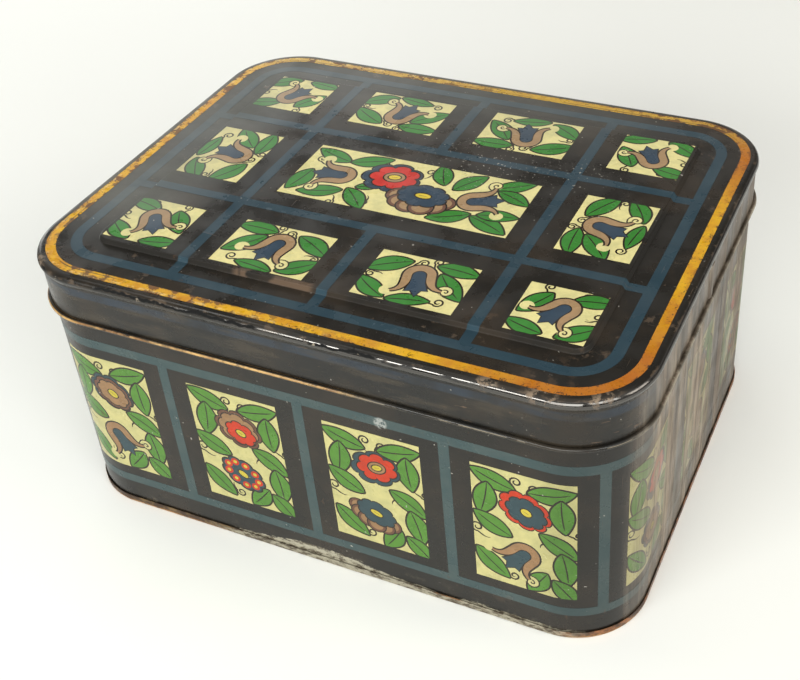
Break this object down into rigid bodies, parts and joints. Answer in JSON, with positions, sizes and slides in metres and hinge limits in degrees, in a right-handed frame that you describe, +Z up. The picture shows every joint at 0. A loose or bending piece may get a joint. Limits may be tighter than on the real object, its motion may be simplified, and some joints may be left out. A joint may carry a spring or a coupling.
{
  "type": "biscuit tin",
  "caption": "Rectangular sheet-metal biscuit tin with rounded corners, rolled edges and a slip-on lid that lifts off.",
  "frame": {"origin": "middle of the base, on the surface the tin stands on", "axes": "+X along the long front side to its right-hand end, +Y from the front to the back, +Z up, the way the lid lifts"},
  "size_m": [0.237, 0.183, 0.1141],
  "materials": {
    "printed_tinplate": "satin black lithographed print with worn edges",
    "solder": "dull solder",
    "base_metal": "worn brown lacquer on tinplate"
  },
  "bodies": {
    "tin_body": {"body_front": "printed_tinplate", "body_rear": "printed_tinplate", "body_left_seam": "solder", "body_right_seam": "solder", "base_plate": "base_metal"},
    "lid": {"lid_panel": "printed_tinplate", "lid_skirt_front": "printed_tinplate", "lid_skirt_rear": "printed_tinplate", "lid_left_seam": "printed_tinplate", "lid_right_seam": "printed_tinplate"}
  },
  "joints": [
    {"name": "lid_lift", "type": "slide", "parent": "tin_body", "child": "lid", "axis": [0, 0, 1], "range_m": [0, 0.12]}
  ]
}
